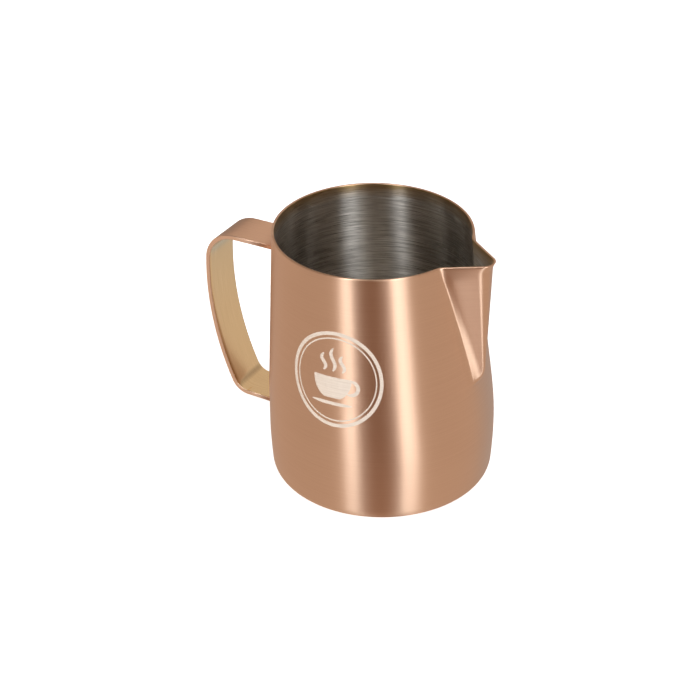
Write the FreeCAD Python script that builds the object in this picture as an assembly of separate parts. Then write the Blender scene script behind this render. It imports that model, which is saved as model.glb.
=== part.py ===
import FreeCAD, Part
import math
import os

# Milk frothing jug. Millimetres and degrees; origin at the middle of the flat base, +Z up,
# +X towards the spout, -X towards the handle, symmetric about the XZ plane.

# Shell: one deep-drawn sheet, round at every height, with a pressed V spout.
height = 107.0               # flat base to the level rim
wall = 1.0                   # sheet thickness of the wall
base_thickness = 1.2         # sheet thickness of the base
belly_radius = 45.55         # outside radius where the jug is widest
belly_height = 23.5          # height of the widest section
belly_curve_radius = 255.0   # profile arc from the belly up to the straight taper
foot_curve_radius = 200.0    # profile arc from the belly down to the foot
foot_corner_radius = 5.0     # outside corner between wall and base
rim_radius = 39.75           # outside radius of the rim circle
rim_setback = 4.0            # the rim circle's centre lies this far towards the handle
setback_blend = 10.0         # height over which the lean starts, above the belly

# Spout: two flat flanks that meet the round wall in straight creases, joined by a rounded keel.
flank_half_angle = 33.5      # plan angle between each flank and the XZ plane
keel_length = 47.0           # from the rim down to where the keel starts to turn into the wall
keel_overhang = 12.75        # keel beyond the round wall at the rim, before the lip
keel_end_overhang = 5.0      # keel beyond the round wall where it starts to turn in
keel_end_length = 8.6        # height over which it turns in
nose_radius = 6.8            # plan radius of the keel at the rim, before the lip
nose_end_radius = 1.3        # plan radius of the keel where it starts to turn in
lip_height = 4.0             # height of the curled pouring lip at the keel's top
lip_curl = 1.4               # how far the lip stands out from the keel
crease_radius = 2.5          # outside radius of the concave creases

# Handle: a flat strip bent into a D, its ends trimmed to the wall.
strap_width = 17.5
strap_thickness = 1.9
strap_edge_radius = 0.4      # rounded long edges
strap_top_gap = 14.9         # from the rim down to the strap's top face, under the rim's edge
strap_top_fall = 2.0         # angle by which the top run falls towards the bend
strap_bottom = 17.5          # from the base up to the bottom face of the lower run
grip_standoff = 32.75        # outermost point of the grip, beyond the belly
grip_rise = 17.4             # height of that point above the middle of the strap
upper_bend_radius = 14.1     # outside radii of the three bends
grip_radius = 119.0
lower_bend_radius = 8.2

# Welds: a bead all round each strap end.
bead_width = 1.2             # how far the bead stands off the strap
bead_height = 0.9            # how far the bead stands off the wall
bead_chamfer = 0.6

overshoot = 1.0              # cutters run this far past the faces that they open
section_step = 8.0           # largest height between two neighbouring sections
keel_end_shares = (0.93, 0.75, 0.56, 0.37, 0.18)     # sections of the keel's turn, lowest first

rim_front = rim_radius - rim_setback     # X of the rim circle on the spout's side
rim_back = -rim_radius - rim_setback     # X of the rim circle on the handle's side
half_angle = math.radians(flank_half_angle)
apex_per_nose = 1 / math.sin(half_angle) - 1     # flanks' meeting point beyond a nose of radius 1
strap_top = height - strap_top_gap
keel_end_height = height - keel_length


def profile_tangent():
    """Angle and start height of the straight taper, tangent to the belly arc through the rim."""
    from_centre_x = rim_radius - (belly_radius - belly_curve_radius)
    from_centre_z = height - belly_height
    distance = math.hypot(from_centre_x, from_centre_z)
    taper = math.atan2(from_centre_z, from_centre_x) - math.acos(belly_curve_radius / distance)
    return taper, belly_height + belly_curve_radius * math.sin(taper)


taper_angle, taper_start = profile_tangent()


def arc_drop(radius, rise):
    """How far an arc falls away from its tangent after a rise along it."""
    return radius - math.sqrt(radius ** 2 - rise ** 2)


def wall_radius(z):
    """Outside radius of the round wall at height z."""
    if z >= taper_start:
        return rim_radius + (height - z) * math.tan(taper_angle)
    if z >= belly_height:
        return belly_radius - arc_drop(belly_curve_radius, z - belly_height)
    return belly_radius - arc_drop(foot_curve_radius, belly_height - z)


def wall_centre(z):
    """X of the round wall's centre at height z: the jug leans back above its belly."""
    rise = z - belly_height
    slope = rim_setback / (height - belly_height - setback_blend / 2)
    if rise <= 0:
        return 0.0
    if rise < setback_blend:
        return -slope * rise ** 2 / (2 * setback_blend)
    return -slope * (rise - setback_blend / 2)


def wall_front(z):
    """X of the round wall on the spout's side at height z."""
    return wall_centre(z) + wall_radius(z)


def keel_line(z):
    """X of the keel's straight stretch at height z."""
    top = rim_front + keel_overhang
    foot = wall_front(keel_end_height) + keel_end_overhang
    return top + (foot - top) * (height - z) / keel_length


def flank_line(z):
    """X where the two flanks would meet at height z, which moves along a straight line too."""
    nose = nose_radius + (nose_end_radius - nose_radius) * (height - z) / keel_length
    return keel_line(z) + nose * apex_per_nose


def keel_end(share):
    """Height and X of the keel where it turns into the wall, an upright quarter of an ellipse.

    share runs from 0, where the turn starts, to 1, two walls deep inside the jug.
    """
    foot = keel_end_height - keel_end_length
    depth = keel_line(keel_end_height) - wall_front(foot) + 2 * wall
    turn = share * math.pi / 2
    z = keel_end_height - keel_end_length * math.sin(turn)
    return z, keel_line(z) - depth * (1 - math.cos(turn))


def keel_points(high):
    """Heights and X of the keel up to height high: rounded end, straight stretch, curled lip."""
    lip_start = height - lip_height
    points = [keel_end(share) for share in keel_end_shares]
    points += [(z, keel_line(z)) for z in heights_between(keel_end_height, lip_start)[:-1]]
    for z in heights_between(lip_start, high):
        points.append((z, keel_line(z) + lip_curl * ((z - lip_start) / lip_height) ** 2))
    return points


def heights_between(low, high):
    """Evenly spaced heights from low to high, no further apart than section_step."""
    steps = max(2, math.ceil((high - low) / section_step))
    return [low + (high - low) * i / steps for i in range(steps + 1)]


def round_section(z, inset):
    """Circle of the wall at height z, moved inwards by inset; its seam faces the handle."""
    centre = FreeCAD.Vector(wall_centre(z), 0, z)
    circle = Part.makeCircle(wall_radius(z) - inset, centre)
    circle.rotate(centre, FreeCAD.Vector(0, 0, 1), 180)
    return Part.Wire([circle])


def spout_section(z, keel, inset, back_x):
    """Flanks and rounded keel at height z, moved inwards by inset, closed at back_x."""
    apex = flank_line(z) - inset / math.sin(half_angle)
    keel -= inset
    radius = (apex - keel) / apex_per_nose
    touch_x = keel - radius + radius * math.sin(half_angle)
    touch_y = radius * math.cos(half_angle)
    back_y = (apex - back_x) * math.tan(half_angle)
    back_right = FreeCAD.Vector(back_x, -back_y, z)
    touch_right = FreeCAD.Vector(touch_x, -touch_y, z)
    nose = FreeCAD.Vector(keel, 0, z)
    touch_left = FreeCAD.Vector(touch_x, touch_y, z)
    back_left = FreeCAD.Vector(back_x, back_y, z)
    return Part.Wire([
        Part.LineSegment(back_right, touch_right).toShape(),
        Part.Arc(touch_right, nose, touch_left).toShape(),
        Part.LineSegment(touch_left, back_left).toShape(),
        Part.LineSegment(back_left, back_right).toShape(),
    ])


def edges_at(shape, z):
    """Edges of shape that lie wholly at height z."""
    return [e for e in shape.Edges if abs(e.BoundBox.ZMin - z) < 1e-3 and abs(e.BoundBox.ZMax - z) < 1e-3]


def is_crease(edge, spout_low, inset):
    """True for an edge that runs up between the round wall and the spout."""
    box = edge.BoundBox
    if box.XMin < 0 or box.ZMin < spout_low or box.ZLength < wall:
        return False
    foot = edge.valueAt(edge.FirstParameter)
    off_axis = math.hypot(foot.x - wall_centre(foot.z), foot.y)
    return abs(off_axis - wall_radius(foot.z) + inset) < wall / 10


def vessel(inset, low, high, corner, crease):
    """Solid of the jug's outline moved inwards by inset, between two heights."""
    body = Part.makeLoft([round_section(z, inset) for z in heights_between(low, high)], True, False)
    body = body.makeFillet(corner, edges_at(body, low))
    back_x = rim_front / 2
    keel = keel_points(high)
    spout = Part.makeLoft([spout_section(z, x, inset, back_x) for z, x in keel], True, False)
    whole = body.fuse(spout).removeSplitter()
    creases = [e for e in whole.Edges if is_crease(e, keel[0][0], inset)]
    return whole.makeFillet(crease, creases).Solids[0]


def inside_vessel():
    """Solid of the space inside the shell, open through the rim."""
    corner = foot_corner_radius - wall
    return vessel(wall, base_thickness, height + overshoot, corner, crease_radius + wall)


class Strap:
    """The handle's strip: two runs, two bends and the long curve of the grip.

    Each bend is an arc tangent to its run and, from inside, to the arc of the grip.
    """

    def __init__(self):
        fall = math.radians(strap_top_fall)
        self.run = FreeCAD.Vector(-math.cos(fall), 0, -math.sin(fall))
        self.down = FreeCAD.Vector(math.sin(fall), 0, -math.cos(fall))
        self.top_start = FreeCAD.Vector(rim_back, 0, strap_top)
        widest_height = (strap_top + strap_bottom) / 2 + grip_rise
        self.grip = FreeCAD.Vector(grip_radius - belly_radius - grip_standoff, 0, widest_height)
        self.upper = self.upper_centre()
        self.lower = self.lower_centre()

    def upper_centre(self):
        """Centre of the upper bend: under the top run, and grip_radius less its own from the grip's."""
        line_start = self.top_start + self.down * upper_bend_radius
        offset = line_start - self.grip
        reach = grip_radius - upper_bend_radius
        half_b = offset.dot(self.run)
        along = -half_b + math.sqrt(half_b ** 2 - offset.dot(offset) + reach ** 2)
        return line_start + self.run * along

    def lower_centre(self):
        """Centre of the lower bend: above the bottom run, and inside the grip's arc."""
        z = strap_bottom + lower_bend_radius
        reach = grip_radius - lower_bend_radius
        x = self.grip.x - math.sqrt(reach ** 2 - (z - self.grip.z) ** 2)
        return FreeCAD.Vector(x, 0, z)

    def face(self, inset):
        """Edges of the strap's face at a depth of inset, from the upper end to the lower one."""
        up = FreeCAD.Vector(0, 0, 1)
        upper_out = (self.upper - self.grip).normalize()
        lower_out = (self.lower - self.grip).normalize()
        upper_mid = (upper_out - self.down).normalize()
        lower_mid = (lower_out - up).normalize()
        start = self.top_start + self.down * inset + self.run * rim_back
        bend_start = self.upper - self.down * (upper_bend_radius - inset)
        bend_mid = self.upper + upper_mid * (upper_bend_radius - inset)
        grip_start = self.upper + upper_out * (upper_bend_radius - inset)
        grip_mid = self.grip - FreeCAD.Vector(grip_radius - inset, 0, 0)
        grip_end = self.lower + lower_out * (lower_bend_radius - inset)
        lower_middle = self.lower + lower_mid * (lower_bend_radius - inset)
        lower_end = self.lower - up * (lower_bend_radius - inset)
        end = FreeCAD.Vector(0, 0, lower_end.z)
        return [
            Part.LineSegment(start, bend_start).toShape(),
            Part.Arc(bend_start, bend_mid, grip_start).toShape(),
            Part.Arc(grip_start, grip_mid, grip_end).toShape(),
            Part.Arc(grip_end, lower_middle, lower_end).toShape(),
            Part.LineSegment(lower_end, end).toShape(),
        ]

    def bar(self, grow=0.0):
        """The bent strip, or one that is larger all round by grow, running in to the jug's axis."""
        outer = self.face(-grow)
        inner = self.face(strap_thickness + grow)
        top_end = Part.LineSegment(outer[0].firstVertex().Point, inner[0].firstVertex().Point).toShape()
        low_end = Part.LineSegment(outer[-1].lastVertex().Point, inner[-1].lastVertex().Point).toShape()
        side = Part.Face(Part.Wire(Part.__sortEdges__([*outer, *inner, top_end, low_end])))
        half_width = strap_width / 2 + grow
        side.translate(FreeCAD.Vector(0, -half_width, 0))
        bar = side.extrude(FreeCAD.Vector(0, 2 * half_width, 0))
        long_edges = [e for e in bar.Edges if e.BoundBox.YLength < strap_edge_radius]
        return bar.makeFillet(strap_edge_radius + grow, long_edges).Solids[0]


def off_wall(point):
    """How far a point stands off the outside of the round wall."""
    return math.hypot(point.x - wall_centre(point.z), point.y) - wall_radius(point.z)


def welds(bar, outside):
    """Beads round the strap's two ends, in the corner between strap and wall, upper one first."""
    near_wall = vessel(-bead_height, 0.0, height, foot_corner_radius, crease_radius)
    rings = Strap().bar(bead_width).common(near_wall).cut(outside).cut(bar)
    beads = []
    for ring in sorted(rings.Solids, key=lambda solid: -solid.BoundBox.ZMax):
        corners = [e for e in ring.Edges if is_outer_corner(e, bar)]
        beads.append(ring.makeChamfer(bead_chamfer, corners).Solids[0])
    return beads


def is_outer_corner(edge, bar):
    """True for a weld's edge that touches neither the wall nor the strap."""
    middle = edge.valueAt((edge.FirstParameter + edge.LastParameter) / 2)
    return off_wall(middle) > bead_height / 2 and edge.distToShape(bar)[0] > bead_width / 2


outside = vessel(0.0, 0.0, height, foot_corner_radius, crease_radius)
shell = outside.cut(inside_vessel()).Solids[0]
bar = Strap().bar()
handle = bar.cut(outside).Solids[0]
upper_weld, lower_weld = welds(bar, outside)

nodes = {
    "jug_body": shell,
    "strap_handle": handle,
    "upper_weld": upper_weld,
    "lower_weld": lower_weld,
}
os.makedirs("parts", exist_ok=True)
for name, solid in nodes.items():
    solid.exportStep(f"parts/{name}.step")
    print(name, "valid" if solid.isValid() else "NOT VALID", round(solid.Volume), "mm3")
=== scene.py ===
import math

import bmesh
import bpy
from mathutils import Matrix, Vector
from mathutils.bvhtree import BVHTree


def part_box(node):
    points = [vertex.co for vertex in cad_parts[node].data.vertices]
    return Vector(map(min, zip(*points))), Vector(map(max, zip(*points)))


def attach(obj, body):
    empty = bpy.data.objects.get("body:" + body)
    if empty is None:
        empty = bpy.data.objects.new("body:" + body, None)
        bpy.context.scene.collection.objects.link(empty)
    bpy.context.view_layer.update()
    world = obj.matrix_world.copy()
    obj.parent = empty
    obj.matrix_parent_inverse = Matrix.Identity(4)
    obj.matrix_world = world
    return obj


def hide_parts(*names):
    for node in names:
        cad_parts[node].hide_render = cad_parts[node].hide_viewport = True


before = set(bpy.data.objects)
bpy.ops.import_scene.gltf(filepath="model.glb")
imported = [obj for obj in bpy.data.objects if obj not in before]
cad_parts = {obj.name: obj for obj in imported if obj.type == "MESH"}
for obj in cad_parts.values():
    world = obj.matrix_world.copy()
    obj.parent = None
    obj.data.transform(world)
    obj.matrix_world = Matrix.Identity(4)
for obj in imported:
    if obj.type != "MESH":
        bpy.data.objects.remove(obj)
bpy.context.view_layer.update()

# ------------------------------------------------------------------------------------------ camera
# A long lens looks down on the jug from beyond its right-hand side, so that the spout points to the
# right, the handle shows on the left and the inside is seen through the rim.
MM = 0.001
jug_low, jug_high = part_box("jug_body")
HEIGHT = jug_high.z
VIEW_AZIMUTH = math.radians(30.5)
VIEW_ELEVATION = math.radians(31.47)
VIEW_DISTANCE = 972.7 * MM
LENS = 124.7                    # focal length in mm, on a 36 mm wide sensor
VIEW_SHIFT = (-0.0457, -0.0011)

scene = bpy.context.scene
scene.view_settings.view_transform = "Standard"
view_right = Vector((math.cos(VIEW_AZIMUTH), math.sin(VIEW_AZIMUTH), 0))
view_level = Vector((math.sin(VIEW_AZIMUTH), -math.cos(VIEW_AZIMUTH), 0))
view_back = view_level * math.cos(VIEW_ELEVATION) + Vector((0, 0, math.sin(VIEW_ELEVATION)))
camera_data = bpy.data.cameras.new("camera")
camera_data.lens = LENS
camera_data.sensor_width = 36.0
camera_data.shift_x = VIEW_SHIFT[0]
camera_data.shift_y = VIEW_SHIFT[1]
camera_data.clip_start = 0.05
camera = bpy.data.objects.new("camera", camera_data)
camera.location = Vector((0, 0, HEIGHT / 2)) + view_back * VIEW_DISTANCE
camera.rotation_euler = view_back.to_track_quat("Z", "Y").to_euler()
scene.collection.objects.link(camera)
scene.camera = camera


# --------------------------------------------------------------------------------------- jug shell
# The shell is one round of stainless sheet, deep drawn into a pot with a flat base and a soft belly.
# A punch then presses the V spout out of it from inside, and the rim is cut level and deburred.
# Its outside is copper-coated and brushed round and round; its inside is bare brushed steel.
class Field:
    """A number that varies over a mesh or a material, handled with ordinary arithmetic."""

    def __init__(self, tree, socket):
        self.tree = tree
        self.socket = socket

    def math(self, operation, *values):
        node = self.tree.nodes.new("ShaderNodeMath")
        node.operation = operation
        for slot, value in zip(node.inputs, values):
            if isinstance(value, Field):
                self.tree.links.new(value.socket, slot)
            else:
                slot.default_value = value
        return Field(self.tree, node.outputs[0])

    def __add__(self, other):
        return self.math("ADD", self, other)

    def __sub__(self, other):
        return self.math("SUBTRACT", self, other)

    def __rsub__(self, other):
        return self.math("SUBTRACT", other, self)

    def __mul__(self, other):
        return self.math("MULTIPLY", self, other)

    def __truediv__(self, other):
        return self.math("DIVIDE", self, other)

    def __rtruediv__(self, other):
        return self.math("DIVIDE", other, self)

    __radd__ = __add__
    __rmul__ = __mul__

    def power(self, exponent):
        return self.math("POWER", self, exponent)

    def root(self):
        return self.math("SQRT", self)

    def size(self):
        return self.math("ABSOLUTE", self)

    def at_least(self, other):
        return self.math("MAXIMUM", self, other)

    def at_most(self, other):
        return self.math("MINIMUM", self, other)

    def ramp(self, low, high):
        """0 up to low, 1 from high on, straight between."""
        return ((self - low) / (high - low)).at_least(0.0).at_most(1.0)

    def sine(self):
        return self.math("SINE", self)

    def cosine(self):
        return self.math("COSINE", self)

    def tangent(self):
        return self.math("TANGENT", self)

    def angle_over(self, other):
        return self.math("ARCTAN2", self, other)


SHELL = {
    "Height": HEIGHT,
    "Belly Radius": 45.55 * MM,
    "Belly Height": 23.5 * MM,
    "Belly Curve": 255.0 * MM,
    "Foot Curve": 200.0 * MM,
    "Foot Corner": 5.0 * MM,
    "Rim Radius": 39.75 * MM,
    "Rim Setback": 4.0 * MM,
    "Setback Blend": 10.0 * MM,
    "Flank Half Angle": math.radians(33.5),
    "Keel Length": 47.0 * MM,
    "Keel Overhang": 12.75 * MM,
    "Keel End Overhang": 5.0 * MM,
    "Keel End Length": 8.6 * MM,
    "Nose Radius": 6.8 * MM,
    "Nose End Radius": 1.3 * MM,
    "Lip Height": 4.0 * MM,
    "Lip Curl": 1.4 * MM,
    "Crease Radius": 5.0 * MM,
    "Flank Bow": 0.09,          # as a slope against the straight flank
}
WALL = 1.0 * MM
DEBURR = 0.3 * MM


def arc_drop(radius, rise):
    """How far an arc falls away from its tangent after a rise along it."""
    return radius - (radius * radius - rise * rise).root()


def round_wall(size, z):
    """Radius and centre X of the round wall at height z."""
    curve = size["Belly Curve"]
    run = size["Rim Radius"] - size["Belly Radius"] + curve
    rise = size["Height"] - size["Belly Height"]
    reach = (run * run + rise * rise).root()
    taper = rise.angle_over(run) - rise.math("ARCCOSINE", curve / reach)
    arc_rise = curve * taper.sine()
    above = (z - size["Belly Height"]).at_least(0.0)
    below = (size["Belly Height"] - z).at_least(0.0)
    radius = size["Belly Radius"] - arc_drop(curve, above.at_most(arc_rise))
    radius = radius - arc_drop(size["Foot Curve"], below)
    radius = radius - (above - arc_rise).at_least(0.0) * taper.tangent()
    blend = size["Setback Blend"]
    slope = size["Rim Setback"] / (rise - blend / 2.0)
    start = above.at_most(blend)
    lean = start * start / (blend * 2.0) + (above - blend).at_least(0.0)
    return radius, lean * slope * -1.0


def keel_and_apex(size, z):
    """X of the spout's rounded keel and of the point where its flanks would meet, at height z."""
    end_z = size["Height"] - size["Keel Length"]
    end_radius, end_centre = round_wall(size, end_z)
    foot_radius, foot_centre = round_wall(size, end_z - size["Keel End Length"])
    top = size["Rim Radius"] - size["Rim Setback"] + size["Keel Overhang"]
    foot = end_radius + end_centre + size["Keel End Overhang"]
    share = (size["Height"] - z) / size["Keel Length"]
    line = top + (foot - top) * share
    nose = size["Nose Radius"] + (size["Nose End Radius"] - size["Nose Radius"]) * share
    apex = line + nose * (1.0 / size["Flank Half Angle"].sine() - 1.0)
    lip = (z - size["Height"] + size["Lip Height"]).at_least(0.0) / size["Lip Height"]
    turned = ((end_z - z) / size["Keel End Length"]).at_least(0.0).at_most(1.0)
    depth = foot - foot_radius - foot_centre + 2 * WALL
    keel = line + size["Lip Curl"] * lip * lip - depth * (1.0 - (1.0 - turned * turned).root())
    return keel, apex


def spout_outline(size, angle, crease, keel, apex, inset, bow):
    """How far the spout stands from the wall's centre at a plan angle: bowed flank or round nose.

    The flank's bow swells most near the crease and dies out at both ends.
    """
    half = size["Flank Half Angle"]
    nose = (apex - keel) / (1.0 / half.sine() - 1.0) - inset
    flank = (apex * half.sine() - inset) / (angle + half).at_most(math.pi / 2).sine()
    middle = keel - inset - nose
    chord = middle * angle.sine()
    round_nose = middle * angle.cosine() + (nose * nose - chord * chord).at_least(0.0).root()
    touch = (nose * half.cosine()).angle_over(middle + nose * half.sine())
    spread = crease - touch
    left = (angle - touch).ramp(0.0, spread)
    flank = flank + bow * spread * middle * (left - left.power(7.0))
    return flank + (round_nose - flank) * angle.math("LESS_THAN", angle, touch)


def geometry_tree(name, sizes):
    """A new geometry node tree with a named input for each size, and those inputs as fields."""
    tree = bpy.data.node_groups.new(name, "GeometryNodeTree")
    tree.interface.new_socket("Geometry", in_out="INPUT", socket_type="NodeSocketGeometry")
    tree.interface.new_socket("Geometry", in_out="OUTPUT", socket_type="NodeSocketGeometry")
    for size in sizes:
        tree.interface.new_socket(size, in_out="INPUT", socket_type="NodeSocketFloat")
    start = tree.nodes.new("NodeGroupInput")
    return tree, {size: Field(tree, start.outputs[size]) for size in sizes}


def end_tree(tree, geometry, material):
    """Realises instances, sets the material and connects the tree's output."""
    realise = tree.nodes.new("GeometryNodeRealizeInstances")
    finish = tree.nodes.new("GeometryNodeSetMaterial")
    finish.inputs["Material"].default_value = material
    end = tree.nodes.new("NodeGroupOutput")
    tree.links.new(geometry, realise.inputs["Geometry"])
    tree.links.new(realise.outputs["Geometry"], finish.inputs["Geometry"])
    tree.links.new(finish.outputs["Geometry"], end.inputs["Geometry"])


def carrier_with(tree, sizes):
    """An object whose one modifier runs a geometry node tree with these sizes."""
    carrier = bpy.data.objects.new("carrier", bpy.data.meshes.new("carrier"))
    scene.collection.objects.link(carrier)
    modifier = carrier.modifiers.new("grow", "NODES")
    modifier.node_group = tree
    for item in tree.interface.items_tree:
        if item.in_out == "INPUT" and item.name in sizes:
            modifier[item.identifier] = sizes[item.name]
    return carrier


def settle(name, carrier):
    """Turns an object with live modifiers into a plain mesh object."""
    evaluated = carrier.evaluated_get(bpy.context.evaluated_depsgraph_get())
    mesh = bpy.data.meshes.new_from_object(evaluated)
    mesh.name = name
    if mesh.materials and mesh.materials[0] is None:
        mesh.materials.pop(index=0)
    piece = bpy.data.objects.new(name, mesh)
    scene.collection.objects.link(piece)
    bpy.data.objects.remove(carrier)
    return piece


def shell_tree(material):
    """The shell's outer skin: a sheet wrapped round from the middle of the base up to the rim.

    Its columns crowd towards the spout's creases and its rows towards the foot's corner.
    """
    tree, size = geometry_tree("drawn_shell", SHELL)
    columns, rows = 261, 127
    spout_share = 0.38
    base_share = 0.08
    corner_share = 0.16
    grid = tree.nodes.new("GeometryNodeMeshGrid")
    grid.inputs["Size X"].default_value = 2.0
    grid.inputs["Size Y"].default_value = 1.0
    grid.inputs["Vertices X"].default_value = columns
    grid.inputs["Vertices Y"].default_value = rows
    position = tree.nodes.new("GeometryNodeInputPosition")
    split = tree.nodes.new("ShaderNodeSeparateXYZ")
    tree.links.new(position.outputs["Position"], split.inputs["Vector"])
    across = Field(tree, split.outputs["X"])
    along = Field(tree, split.outputs["Y"]) + 0.5

    corner = size["Foot Corner"]
    turn = along.ramp(base_share, corner_share) * (math.pi / 2)
    inset = corner * (1.0 - turn.sine())
    climb = along.ramp(corner_share, 1.0) * (size["Height"] - corner)
    z = corner * (1.0 - turn.cosine()) + climb
    radius, centre = round_wall(size, z)
    keel, apex = keel_and_apex(size, z)
    keel = keel - centre
    apex = apex - centre

    half = size["Flank Half Angle"]
    crease = (apex * half.sine() / radius).at_most(1.0)
    crease = (crease.math("ARCSINE", crease) - half).at_least(math.radians(3.5))
    aside = across.size()
    angle = aside.ramp(0.0, spout_share) * crease
    angle = angle + aside.ramp(spout_share, 1.0).power(1.35) * (math.pi - crease)

    pot = radius - inset
    bow = size["Flank Bow"] * (size["Height"] - z).ramp(0.0, 6.0 * MM)
    spout = spout_outline(size, angle, crease, keel, apex, inset, bow)
    bend = (1.0 / (crease + half).tangent()).power(2.0).at_most(1.5)
    soft = size["Crease Radius"] * bend / 2.0
    overlap = (soft - (pot - spout).size()).at_least(0.0)
    out = (pot.at_least(spout) + overlap * overlap / (soft * 4.0)) * along.ramp(0.0, base_share)

    place = tree.nodes.new("ShaderNodeCombineXYZ")
    for slot, value in zip(place.inputs, (
        centre + out * angle.cosine(),
        out * angle.sine() * across.math("SIGN", across),
        z,
    )):
        tree.links.new(value.socket, slot)
    move = tree.nodes.new("GeometryNodeSetPosition")
    tree.links.new(grid.outputs["Mesh"], move.inputs["Geometry"])
    tree.links.new(place.outputs["Vector"], move.inputs["Position"])
    store = tree.nodes.new("GeometryNodeStoreNamedAttribute")
    store.inputs["Name"].default_value = "pressed"
    pressed = (spout - pot).ramp(0.0, 1.5 * MM)
    tree.links.new(move.outputs["Geometry"], store.inputs["Geometry"])
    tree.links.new(pressed.socket, store.inputs["Value"])
    merge = tree.nodes.new("GeometryNodeMergeByDistance")
    merge.inputs["Distance"].default_value = 0.005 * MM
    tree.links.new(store.outputs["Geometry"], merge.inputs["Geometry"])
    end_tree(tree, merge.outputs["Geometry"], material)
    return tree


def node_value(tree, kind, output=0, **inputs):
    """Adds a shader node, links or sets the named inputs, and returns one output as a field."""
    node = tree.nodes.new(kind)
    for name, value in inputs.items():
        slot = node.inputs[name.replace("_", " ")]
        if isinstance(value, Field):
            tree.links.new(value.socket, slot)
        else:
            slot.default_value = value
    return Field(tree, node.outputs[output])


def brush_group():
    """Shader group: marks of a brush that ran round the Z axis, on walls and flat bases alike."""
    group = bpy.data.node_groups.new("brush_marks", "ShaderNodeTree")
    for name, kind, value in (
        ("Length", "NodeSocketFloat", 0.03),
        ("Pitch", "NodeSocketFloat", 0.0004),
        ("Detail", "NodeSocketFloat", 3.0),
    ):
        socket = group.interface.new_socket(name, in_out="INPUT", socket_type=kind)
        socket.default_value = value
    group.interface.new_socket("Marks", in_out="OUTPUT", socket_type="NodeSocketFloat")
    group.interface.new_socket("Patches", in_out="OUTPUT", socket_type="NodeSocketFloat")
    start = group.nodes.new("NodeGroupInput")
    end = group.nodes.new("NodeGroupOutput")
    length = Field(group, start.outputs["Length"])
    pitch = Field(group, start.outputs["Pitch"])
    coordinates = group.nodes.new("ShaderNodeTexCoord")
    split = group.nodes.new("ShaderNodeSeparateXYZ")
    group.links.new(coordinates.outputs["Object"], split.inputs["Vector"])
    x, y, z = (Field(group, split.outputs[axis]) for axis in "XYZ")
    across = z + (x * x + y * y).root() * (1.0 - z.ramp(0.001, 0.006))
    combine = group.nodes.new("ShaderNodeCombineXYZ")
    for slot, value in zip(combine.inputs, (x / length, y / length, across / pitch)):
        group.links.new(value.socket, slot)
    vector = Field(group, combine.outputs["Vector"])
    marks = node_value(group, "ShaderNodeTexNoise", "Fac", Vector=vector, Scale=1.0, Roughness=0.65)
    group.links.new(start.outputs["Detail"], marks.socket.node.inputs["Detail"])
    wide = group.nodes.new("ShaderNodeCombineXYZ")
    for slot, value in zip(wide.inputs, (x / length, y / length, across / (pitch * 9.0))):
        group.links.new(value.socket, slot)
    patches = node_value(
        group, "ShaderNodeTexNoise", "Fac",
        Vector=Field(group, wide.outputs["Vector"]), Scale=1.0, Detail=2.0,
    )
    group.links.new(marks.socket, end.inputs["Marks"])
    group.links.new(patches.socket, end.inputs["Patches"])
    return group


def metal(name, roughness, anisotropy):
    """A new metal material; returns it, its tree and its Principled BSDF."""
    material = bpy.data.materials.new(name)
    material.use_nodes = True
    tree = material.node_tree
    shader = tree.nodes["Principled BSDF"]
    shader.inputs["Metallic"].default_value = 1.0
    shader.inputs["Roughness"].default_value = roughness
    shader.inputs["Anisotropic"].default_value = anisotropy
    return material, tree, shader


def colour_between(tree, factor, low, high):
    """A colour that runs from low to high with factor."""
    mix = tree.nodes.new("ShaderNodeMix")
    mix.data_type = "RGBA"
    tree.links.new(factor.socket, mix.inputs["Factor"])
    for name, value in (("A", low), ("B", high)):
        slot = next(s for s in mix.inputs if s.name == name and s.type == "RGBA")
        if isinstance(value, Field):
            tree.links.new(value.socket, slot)
        else:
            slot.default_value = (*value, 1.0)
    return Field(tree, next(s for s in mix.outputs if s.type == "RGBA"))


def turned_tangent(tree, shader):
    """Lays the brushing direction round the Z axis and spreads reflections across it."""
    tangent = tree.nodes.new("ShaderNodeTangent")
    tangent.direction_type = "RADIAL"
    tangent.axis = "Z"
    tree.links.new(tangent.outputs["Tangent"], shader.inputs["Tangent"])
    shader.inputs["Anisotropic Rotation"].default_value = 0.25


def brushed(tree, group, length, pitch):
    """Adds the brush group with its own length and pitch; returns its marks and patches."""
    node = tree.nodes.new("ShaderNodeGroup")
    node.node_tree = group
    node.inputs["Length"].default_value = length
    node.inputs["Pitch"].default_value = pitch
    return Field(tree, node.outputs["Marks"]), Field(tree, node.outputs["Patches"])


def bump(tree, shader, height, strength, distance):
    """Feeds a height to the shader's normal."""
    node = tree.nodes.new("ShaderNodeBump")
    node.inputs["Strength"].default_value = strength
    node.inputs["Distance"].default_value = distance
    tree.links.new(height.socket, node.inputs["Height"])
    tree.links.new(node.outputs["Normal"], shader.inputs["Normal"])


brush = brush_group()
COPPER_LOW = (0.83, 0.545, 0.385)
COPPER_HIGH = (0.88, 0.595, 0.43)
PRESSED_SHEEN_LOW = (0.90, 0.63, 0.43)        # painted highlight: the spout is coloured paler for the broad sheen on its flank
PRESSED_SHEEN_HIGH = (0.96, 0.70, 0.49)


def copper_coat(name, roughness, anisotropy, low, high):
    """The copper coat, brushed round and round, in two close tones."""
    material, tree, shader = metal(name, roughness, anisotropy)
    turned_tangent(tree, shader)
    marks, patches = brushed(tree, brush, 0.03, 0.0002)
    tone = colour_between(tree, marks.ramp(0.3, 0.7), low, high)
    tree.links.new(tone.socket, shader.inputs["Base Color"])
    tree.links.new((roughness + patches * 0.04).socket, shader.inputs["Roughness"])
    bump(tree, shader, marks, 0.25, 0.00002)
    return material


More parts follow.
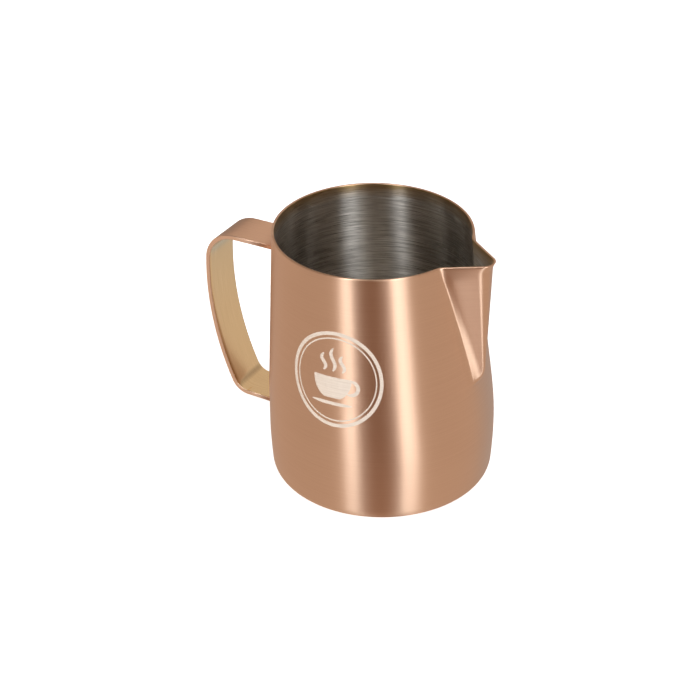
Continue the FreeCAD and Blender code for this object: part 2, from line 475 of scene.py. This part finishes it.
copper = copper_coat("brushed_copper_coat", 0.34, 0.98, COPPER_LOW, COPPER_HIGH)
# The pressed spout is rougher and less brushed, which is real; its paler tone is a painted highlight.
pressed_copper = copper_coat("pressed_copper_painted_sheen", 0.50, 0.20, PRESSED_SHEEN_LOW, PRESSED_SHEEN_HIGH)

STEEL_LOW = (0.38, 0.352, 0.318)
STEEL_HIGH = (0.90, 0.86, 0.80)
OVERSPRAY = (0.46, 0.29, 0.11)          # coat that has drifted in under the rim
steel, tree, shader = metal("bare_brushed_steel", 0.45, 1.0)
turned_tangent(tree, shader)
marks, patches = brushed(tree, brush, 0.011, 0.00024)
streaks = (marks * 0.9 + patches * 0.1).ramp(0.34, 0.66)
bare = colour_between(tree, streaks, STEEL_LOW, STEEL_HIGH)
place = tree.nodes.new("ShaderNodeTexCoord")
split = tree.nodes.new("ShaderNodeSeparateXYZ")
tree.links.new(place.outputs["Object"], split.inputs["Vector"])
below_rim = HEIGHT - Field(tree, split.outputs["Z"])
sprayed = (1.0 - (below_rim + (patches - 0.5) * 3.0 * MM).ramp(0.5 * MM, 6.5 * MM)) * 0.9
tone = colour_between(tree, sprayed, bare, OVERSPRAY)
tree.links.new(tone.socket, shader.inputs["Base Color"])
tree.links.new((0.27 + streaks * 0.08).socket, shader.inputs["Roughness"])
bump(tree, shader, marks, 0.22, 0.00004)

RIM_LOW = (0.66, 0.43, 0.30)
RIM_HIGH = (0.82, 0.58, 0.43)
edge_metal, tree, shader = metal("cut_rim", 0.32, 0.0)
patches = brushed(tree, brush, 0.01, 0.0003)[1]
tone = colour_between(tree, patches.ramp(0.4, 0.6), RIM_LOW, RIM_HIGH)
tree.links.new(tone.socket, shader.inputs["Base Color"])

OUTSIDE, INSIDE, RIM, PRESSED = range(4)
skin = settle("skin", carrier_with(shell_tree(copper), SHELL))
for material in (steel, edge_metal, pressed_copper):
    skin.data.materials.append(material)
wall_tree = BVHTree.FromPolygons(
    [v.co.copy() for v in skin.data.vertices],
    [tuple(p.vertices) for p in skin.data.polygons],
)
sheet = skin.modifiers.new("sheet", "SOLIDIFY")
sheet.thickness = WALL
sheet.offset = -1.0
sheet.use_even_offset = True
sheet.material_offset = INSIDE
sheet.material_offset_rim = RIM
drawn = settle("drawn", skin)
for vertex in drawn.data.vertices:
    vertex.co.z = min(vertex.co.z, HEIGHT)
pressed = drawn.data.attributes["pressed"].data
for polygon in drawn.data.polygons:
    least = min(pressed[v].value for v in polygon.vertices)
    if polygon.material_index == OUTSIDE and least > 0.15:
        polygon.material_index = PRESSED
deburr = drawn.modifiers.new("deburr", "BEVEL")
deburr.width = DEBURR
deburr.segments = 3
deburr.limit_method = "ANGLE"
deburr.angle_limit = math.radians(60)
shell = settle("shell", drawn)
shell.data.shade_smooth()
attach(shell, "root")
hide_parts("jug_body")


# ------------------------------------------------------------------------------------ strap handle
# The handle is a flat strip of the same steel, its long edges rounded, bent into a D on three formers.
# Its trimmed ends butt against the wall and are welded; inside the D it is coloured paler and yellower.
STRAP_WIDTH = 17.5 * MM
STRAP_THICKNESS = 1.9 * MM
STRAP_EDGE = 0.4 * MM
TOP_GAP = 14.9 * MM
TOP_FALL = math.radians(2.0)
BOTTOM = 17.5 * MM
GRIP_STANDOFF = 32.75 * MM
GRIP_RISE = 17.4 * MM
UPPER_BEND = 14.1 * MM
GRIP_BEND = 119.0 * MM
LOWER_BEND = 8.2 * MM
STRAP_TUCK = 0.5 * MM           # how far its ends run into the wall
UV_PER_METRE = 10
STRAP_LOW = (0.84, 0.57, 0.42)
STRAP_HIGH = (0.91, 0.63, 0.47)
INNER_LOW = (0.88, 0.68, 0.41)
INNER_HIGH = (0.96, 0.76, 0.48)


def arc_points(centre, radius, first, last, steps):
    """Points and outward directions along an arc in the XZ plane, angles measured from +X up."""
    found = []
    for i in range(steps + 1):
        angle = first + (last - first) * i / steps
        out = Vector((math.cos(angle), 0, math.sin(angle)))
        found.append((centre + out * radius, out))
    return found


def strap_path():
    """Points and outward directions along the strap's outer face, from the rim's side downwards."""
    run = Vector((-math.cos(TOP_FALL), 0, -math.sin(TOP_FALL)))
    down = Vector((math.sin(TOP_FALL), 0, -math.cos(TOP_FALL)))
    rim_back = -SHELL["Rim Radius"] - SHELL["Rim Setback"]
    start = Vector((rim_back, 0, HEIGHT - TOP_GAP))
    middle_height = (start.z + BOTTOM) / 2
    grip = Vector((GRIP_BEND - SHELL["Belly Radius"] - GRIP_STANDOFF, 0, middle_height + GRIP_RISE))
    bend_start = start + down * UPPER_BEND
    offset = bend_start - grip
    reach = GRIP_BEND - UPPER_BEND
    half_b = offset.dot(run)
    upper = bend_start + run * (math.sqrt(half_b ** 2 - offset.dot(offset) + reach ** 2) - half_b)
    lower_z = BOTTOM + LOWER_BEND
    reach = GRIP_BEND - LOWER_BEND
    lower = Vector((grip.x - math.sqrt(reach ** 2 - (lower_z - grip.z) ** 2), 0, lower_z))
    top_angle = math.atan2(-down.z, -down.x)
    upper_angle = math.atan2(upper.z - grip.z, upper.x - grip.x)
    lower_angle = math.atan2(lower.z - grip.z, lower.x - grip.x) + 2 * math.pi
    path = [(start - run * 3 * MM, -down)]
    path += arc_points(upper, UPPER_BEND, top_angle, upper_angle, 16)
    path += arc_points(grip, GRIP_BEND, upper_angle, lower_angle, 40)[1:]
    path += arc_points(lower, LOWER_BEND, lower_angle, 1.5 * math.pi, 12)[1:]
    path.append((Vector((-SHELL["Belly Radius"], 0, BOTTOM)), Vector((0, 0, -1))))
    return path


def strap_section():
    """Outline of the strip's cross-section as (across, depth), from one outer corner round."""
    half = STRAP_WIDTH / 2
    corners = (
        (half - STRAP_EDGE, STRAP_EDGE, -90),
        (half - STRAP_EDGE, STRAP_THICKNESS - STRAP_EDGE, 0),
        (STRAP_EDGE - half, STRAP_THICKNESS - STRAP_EDGE, 90),
        (STRAP_EDGE - half, STRAP_EDGE, 180),
    )
    flat_steps = 10
    outline = []
    for n, (y, depth, first) in enumerate(corners):
        for i in range(6):
            angle = math.radians(first + 18 * i)
            outline.append((y + STRAP_EDGE * math.cos(angle), depth + STRAP_EDGE * math.sin(angle)))
        if n % 2:
            y0, d0 = outline[-1]
            y1 = -y0
            outline += [(y0 + (y1 - y0) * i / flat_steps, d0) for i in range(1, flat_steps)]
    return outline


def to_wall(point, direction, sink):
    """Where a straight line from point first meets the jug's outside, pushed in by sink."""
    hit = wall_tree.ray_cast(point, direction)[0]
    return hit + direction * sink if hit else point


def strap_mesh():
    """The bent strip as one closed mesh, with its two ends shaped to the wall."""
    path = strap_path()
    outline = strap_section()
    mesh = bmesh.new()
    uv_layer = mesh.loops.layers.uv.new("strip")
    inner_layer = mesh.verts.layers.float.new("inner")
    rings = []
    travelled = 0.0
    lengths = []
    for n, (point, out) in enumerate(path):
        travelled += (point - path[n - 1][0]).length if n else 0.0
        lengths.append(travelled)
        ring = []
        for y, depth in outline:
            place = point - out * depth + Vector((0, y, 0))
            if n in (0, len(path) - 1):
                place = to_wall(place + Vector((-30 * MM, 0, 0)), Vector((1, 0, 0)), STRAP_TUCK)
            vertex = mesh.verts.new(place)
            vertex[inner_layer] = max(0.0, 1.0 - (STRAP_THICKNESS - depth) / STRAP_EDGE)
            ring.append(vertex)
        rings.append(ring)
    count = len(outline)
    for n in range(len(rings) - 1):
        for i in range(count):
            j = (i + 1) % count
            face = mesh.faces.new((rings[n][i], rings[n][j], rings[n + 1][j], rings[n + 1][i]))
            corners = ((n, i), (n, i + 1), (n + 1, i + 1), (n + 1, i))
            for loop, (step, turn) in zip(face.loops, corners):
                loop[uv_layer].uv = (lengths[step] * UV_PER_METRE, turn / count)
    for ring in (rings[0], rings[-1]):
        for i in range(count // 2 - 1):
            mesh.faces.new((ring[5 - i], ring[4 - i], ring[(7 + i) % count], ring[6 + i]))
    bmesh.ops.recalc_face_normals(mesh, faces=mesh.faces)
    for face in mesh.faces:
        face.smooth = True
    return mesh


strap_copper, tree, shader = metal("copper_strip", 0.38, 0.0)
uv = tree.nodes.new("ShaderNodeUVMap")
uv.uv_map = "strip"
stretch = tree.nodes.new("ShaderNodeMapping")
stretch.inputs["Scale"].default_value = (6.0, 160.0, 1.0)
tree.links.new(uv.outputs["UV"], stretch.inputs["Vector"])
lines = node_value(
    tree, "ShaderNodeTexNoise", "Fac",
    Vector=Field(tree, stretch.outputs["Vector"]), Scale=1.0, Detail=3.0,
)
inner = node_value(tree, "ShaderNodeAttribute", "Fac")
inner.socket.node.attribute_name = "inner"
outer_tone = colour_between(tree, lines.ramp(0.3, 0.7), STRAP_LOW, STRAP_HIGH)
inner_tone = colour_between(tree, lines.ramp(0.3, 0.7), INNER_LOW, INNER_HIGH)
# The face inside the D is coloured paler and yellower than the outside.
tone = colour_between(tree, inner.ramp(0.5, 1.0), outer_tone, inner_tone)
tree.links.new((0.38 - inner.ramp(0.9, 1.0) * 0.24).socket, shader.inputs["Roughness"])
tree.links.new(tone.socket, shader.inputs["Base Color"])
bump(tree, shader, lines, 0.3, 0.00003)

strap_data = bpy.data.meshes.new("strap")
strap_mesh().to_mesh(strap_data)
strap_data.materials.append(strap_copper)
strap = bpy.data.objects.new("strap", strap_data)
scene.collection.objects.link(strap)
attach(strap, "root")
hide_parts("strap_handle")


# -------------------------------------------------------------------------------------- weld beads
# Each end of the strap is held by a fillet of weld all round it, run by hand in short overlapping
# puddles and brushed over before the coating, so that only soft ripples are left.
BEAD_WIDTH = 1.2 * MM
BEAD_HEIGHT = 0.9 * MM
BEAD_TUCK = 0.3 * MM            # how far it runs into the wall and under the strap's corner
RIPPLE = 1.1 * MM
BEAD_LOW = (0.74, 0.47, 0.33)
BEAD_HIGH = (0.86, 0.60, 0.44)


def bead_mesh(face_z, rises):
    """A rippled quarter-round bead round a strap end whose outer face lies at height face_z."""
    half = STRAP_WIDTH / 2
    low, high = sorted((face_z, face_z - rises * STRAP_THICKNESS))
    outline = []
    straight = 36
    ends = 5
    for y0, z0, y1, z1, steps in (
        (-half, low, half, low, straight),
        (half, low, half, high, ends),
        (half, high, -half, high, straight),
        (-half, high, -half, low, ends),
    ):
        for i in range(steps):
            share = i / steps
            outline.append(Vector((0, y0 + (y1 - y0) * share, z0 + (z1 - z0) * share)))
    mesh = bmesh.new()
    rings = []
    travelled = 0.0
    count = len(outline)
    profile = 7
    behind = Vector((-0.1, 0, 0))
    inwards = Vector((1, 0, 0))
    for n, point in enumerate(outline):
        ahead = outline[(n + 1) % count] - outline[n - 1]
        out = Vector((0, ahead.z, -ahead.y)).normalized()
        travelled += (point - outline[n - 1]).length if n else 0.0
        swell = 1.0 + 0.08 * math.sin(2 * math.pi * travelled / RIPPLE)
        ring = []
        for i in range(profile):
            turn = math.pi / 2 * i / (profile - 1)
            aside = out * (BEAD_WIDTH * math.cos(turn) * swell)
            off = BEAD_HEIGHT * math.sin(turn) * swell
            foot = to_wall(point + aside + behind, inwards, 0.0)
            ring.append(mesh.verts.new(foot - Vector((off, 0, 0))))
        under = point - out * BEAD_TUCK
        top = ring[-1].co.x
        foot = to_wall(under + behind, inwards, BEAD_TUCK)
        ring.append(mesh.verts.new(Vector((top, under.y, under.z))))
        ring.append(mesh.verts.new(foot))
        foot = to_wall(point + out * BEAD_WIDTH * 0.9 + behind, inwards, BEAD_TUCK)
        ring.append(mesh.verts.new(foot))
        rings.append(ring)
    size = len(rings[0])
    for n in range(count):
        following = rings[(n + 1) % count]
        for i in range(size):
            j = (i + 1) % size
            mesh.faces.new((rings[n][i], rings[n][j], following[j], following[i]))
    bmesh.ops.recalc_face_normals(mesh, faces=mesh.faces)
    for face in mesh.faces:
        face.smooth = True
    return mesh


bead_metal, tree, shader = metal("coated_weld", 0.45, 0.0)
marks, patches = brushed(tree, brush, 0.002, 0.0006)
tone = colour_between(tree, patches.ramp(0.35, 0.65), BEAD_LOW, BEAD_HIGH)
tree.links.new(tone.socket, shader.inputs["Base Color"])
bump(tree, shader, marks, 0.4, 0.00005)
for node, face_z, rises in (("upper_weld", HEIGHT - TOP_GAP, 1), ("lower_weld", BOTTOM, -1)):
    data = bpy.data.meshes.new(node + "_bead")
    bead_mesh(face_z, rises).to_mesh(data)
    data.materials.append(bead_metal)
    bead = bpy.data.objects.new(node + "_bead", data)
    scene.collection.objects.link(bead)
    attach(bead, "root")
    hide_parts(node)


# ------------------------------------------------------------------------------------ etched motif
# A laser takes the coat off in a round motif on the side that faces a right-handed pourer's guest: a
# steaming cup inside a plain ring. The bare steel it leaves is frosted and pale.
MARK_AZIMUTH = math.radians(-84.4)
MARK_HEIGHT = 63.5 * MM
MARK_RELIEF = 0.03 * MM
FROST_LOW = (0.78, 0.69, 0.60)
FROST_HIGH = (0.90, 0.82, 0.73)


def ribbon(points, widths, closed=False):
    """A flat stroke along points in the motif's plane, as rows of (right, up), in millimetres."""
    rows = []
    count = len(points)
    steps = 6
    for n, (x, y) in enumerate(points):
        before = points[n - 1] if n or closed else points[n]
        after = points[(n + 1) % count] if n < count - 1 or closed else points[n]
        dx, dy = after[0] - before[0], after[1] - before[1]
        long = math.hypot(dx, dy)
        side = (-dy / long, dx / long)
        half = widths[n]
        rows.append([
            (x + side[0] * half * (2 * i / steps - 1), y + side[1] * half * (2 * i / steps - 1))
            for i in range(steps + 1)
        ])
    if closed:
        rows.append(rows[0])
    return rows


def arc_round(x, y, wide, high, degrees):
    """Points of an upright ellipse about x, y, one for each angle."""
    turns = [math.radians(a) for a in degrees]
    return [(x + wide * math.cos(turn), y + high * math.sin(turn)) for turn in turns]


def ring_rows(radius, half_width):
    """A closed ring about the motif's middle."""
    points = arc_round(0.0, 0.0, radius, radius, range(0, 360, 3))
    return ribbon(points, [half_width] * len(points), True)


def tapered(points, half_width):
    """A stroke that thins to rounded ends."""
    last = len(points) - 1
    shares = [math.sqrt(4.5 * min(n, last - n) / last) for n in range(last + 1)]
    return ribbon(points, [half_width * max(0.12, min(1.0, share)) for share in shares])


motif = [ring_rows(19.7, 0.75), ring_rows(17.6, 0.28)]
bowl = [(-1.2, 1.0 - 9.0 * i / 24) for i in range(25)]
motif.append(ribbon(bowl, [8.4 * math.sqrt(1.0 - 0.83 * (i / 24) ** 2.2) for i in range(25)]))
motif.append(tapered(arc_round(6.6, -2.6, 3.4, 3.0, range(100, -121, -10)), 0.75))
motif.append(tapered([(-10.2 + 18.0 * i / 30, -10.4) for i in range(31)], 0.7))
for start, low, high in ((-5.4, 3.4, 10.6), (-1.2, 3.4, 13.4), (3.0, 3.4, 10.6)):
    motif.append(tapered([
        (start + 1.0 * math.sin(2 * math.pi * i / 30), low + (high - low) * i / 30) for i in range(31)
    ], 0.75))


def onto_wall(right, up, off):
    """A point of the motif's plane, wrapped onto the jug and raised by off."""
    z = MARK_HEIGHT + up * MM
    angle = MARK_AZIMUTH + right * MM / SHELL["Belly Radius"]
    out = Vector((math.cos(angle), math.sin(angle), 0))
    return wall_tree.ray_cast(Vector((0, 0, z)), out)[0] + out * off


mark_bm = bmesh.new()
for rows in motif:
    sheets = [
        [[mark_bm.verts.new(onto_wall(x, y, off)) for x, y in row] for row in rows]
        for off in (MARK_RELIEF, -MARK_RELIEF)
    ]
    for n in range(len(rows) - 1):
        for i in range(len(rows[0]) - 1):
            for grid in sheets:
                mark_bm.faces.new((grid[n][i], grid[n][i + 1], grid[n + 1][i + 1], grid[n + 1][i]))
        for i in (0, -1):
            face, back = sheets
            mark_bm.faces.new((face[n][i], face[n + 1][i], back[n + 1][i], back[n][i]))
    for n in (0, -1):
        for i in range(len(rows[0]) - 1):
            face, back = sheets
            mark_bm.faces.new((face[n][i], face[n][i + 1], back[n][i + 1], back[n][i]))
bmesh.ops.remove_doubles(mark_bm, verts=mark_bm.verts, dist=0.001 * MM)
bmesh.ops.recalc_face_normals(mark_bm, faces=mark_bm.faces)

frosted, tree, shader = metal("frosted_etch", 0.55, 0.0)
shader.inputs["Metallic"].default_value = 0.55
marks = brushed(tree, brush, 0.02, 0.0004)[0]
tone = colour_between(tree, marks.ramp(0.3, 0.7), FROST_LOW, FROST_HIGH)
tree.links.new(tone.socket, shader.inputs["Base Color"])
mark_data = bpy.data.meshes.new("etched_cup")
mark_bm.to_mesh(mark_data)
mark_data.materials.append(frosted)
mark = bpy.data.objects.new("etched_cup", mark_data)
scene.collection.objects.link(mark)
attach(mark, "root")


# --------------------------------------------------------------------------------- floor and light
# A plain pale floor. The light is a warm, even room with two tall white softboxes, one to each side
# of the camera, and a dark gap between them where the camera stands.
FLOOR_REACH = 3.0
floor_corners = [(x * FLOOR_REACH, y * FLOOR_REACH, 0) for x, y in ((-1, -1), (1, -1), (1, 1), (-1, 1))]
floor_data = bpy.data.meshes.new("floor")
floor_data.from_pydata(floor_corners, [], [(0, 1, 2, 3)])
floor = bpy.data.objects.new("floor", floor_data)
scene.collection.objects.link(floor)
paper = bpy.data.materials.new("white_paper")
paper.use_nodes = True
shader = paper.node_tree.nodes["Principled BSDF"]
shader.inputs["Base Color"].default_value = (0.9, 0.9, 0.9, 1.0)
shader.inputs["Roughness"].default_value = 0.9
shader.inputs["Specular IOR Level"].default_value = 0.0
shader.inputs["Emission Color"].default_value = (1.0, 1.0, 1.0, 1.0)
shader.inputs["Emission Strength"].default_value = 0.8
floor_data.materials.append(paper)
floor.visible_glossy = False

world = bpy.data.worlds.new("studio")
scene.world = world
world.use_nodes = True
tree = world.node_tree
direction = tree.nodes.new("ShaderNodeTexCoord")


def along_view(axis):
    """How far the looked-up direction points along a horizontal axis."""
    node = tree.nodes.new("ShaderNodeVectorMath")
    node.operation = "DOT_PRODUCT"
    node.inputs[1].default_value = axis
    tree.links.new(direction.outputs["Generated"], node.inputs[0])
    return Field(tree, node.outputs["Value"])


DARK = (0.17, 0.07, 0.03)
BELOW = (0.56, 0.38, 0.28)
WHITE = (1.04, 1.09, 1.12)
LOW_WHITE = (0.88, 0.91, 0.93)
TOP_WHITE = (7.4, 7.5, 7.6)
ROOM = (0.65, 0.525, 0.43)
FAR = (0.47, 0.46, 0.46)
SHADE = (0.06, 0.05, 0.04)
TOP_DARK = (0.04, 0.03, 0.02)
TOP_ROOM = (0.26, 0.21, 0.18)
TOP_FAR = (0.60, 0.49, 0.40)
EDGE = (0.16, 0.11, 0.08)
LEFT_STRIP = (-35.0, -24.5)     # degrees round from the camera
RIGHT_STRIP = (21.0, 34.5)
FALL_OFF = 2.0


def round_the_room(stops):
    """A colour by degrees round from the camera, counted from -180, straight between stops."""
    ramp = tree.nodes.new("ShaderNodeValToRGB")
    while len(ramp.color_ramp.elements) < len(stops):
        ramp.color_ramp.elements.new(0.5)
    for element, (at, colour) in zip(ramp.color_ramp.elements, stops):
        element.position = (at + 180.0) / 360.0
        element.color = (*colour, 1.0)
    tree.links.new(((turn + 180.0) / 360.0).socket, ramp.inputs["Fac"])
    return Field(tree, ramp.outputs["Color"])


def strips(white, gap, left, right, side, far):
    """Stops for one height of the room: two strips, the gap between them and the walls."""
    return (
        (-180.0, far), (-168.0, far), (-158.0, side), (-135.0, left), (-80.0, left),
        (LEFT_STRIP[0] - FALL_OFF, right), (LEFT_STRIP[0], white),
        (LEFT_STRIP[1], white), (LEFT_STRIP[1] + FALL_OFF, gap),
        (RIGHT_STRIP[0] - FALL_OFF, gap), (RIGHT_STRIP[0], white),
        (RIGHT_STRIP[1], white), (38.0, right), (100.0, right),
        (135.0, side), (158.0, side), (168.0, far), (180.0, far),
    )


turn = along_view(view_right).angle_over(along_view(view_level)) * (180 / math.pi)
climb = along_view((0, 0, 1))
level = round_the_room(strips(WHITE, DARK, ROOM, ROOM, FAR, EDGE))
high = round_the_room(strips(TOP_WHITE, TOP_DARK, SHADE, TOP_ROOM, TOP_FAR, TOP_FAR))
low = round_the_room(strips(LOW_WHITE, BELOW, ROOM, ROOM, FAR, EDGE))
light = colour_between(tree, climb.ramp(0.15, 0.5), level, high)
light = colour_between(tree, (climb * -1.0).ramp(0.45, 0.8), light, low)
seen = tree.nodes.new("ShaderNodeLightPath")
tone = colour_between(tree, Field(tree, seen.outputs["Is Camera Ray"]), light, (1, 1, 1))
tree.links.new(tone.socket, tree.nodes["Background"].inputs["Color"])
tree.nodes["Background"].inputs["Strength"].default_value = 1.0
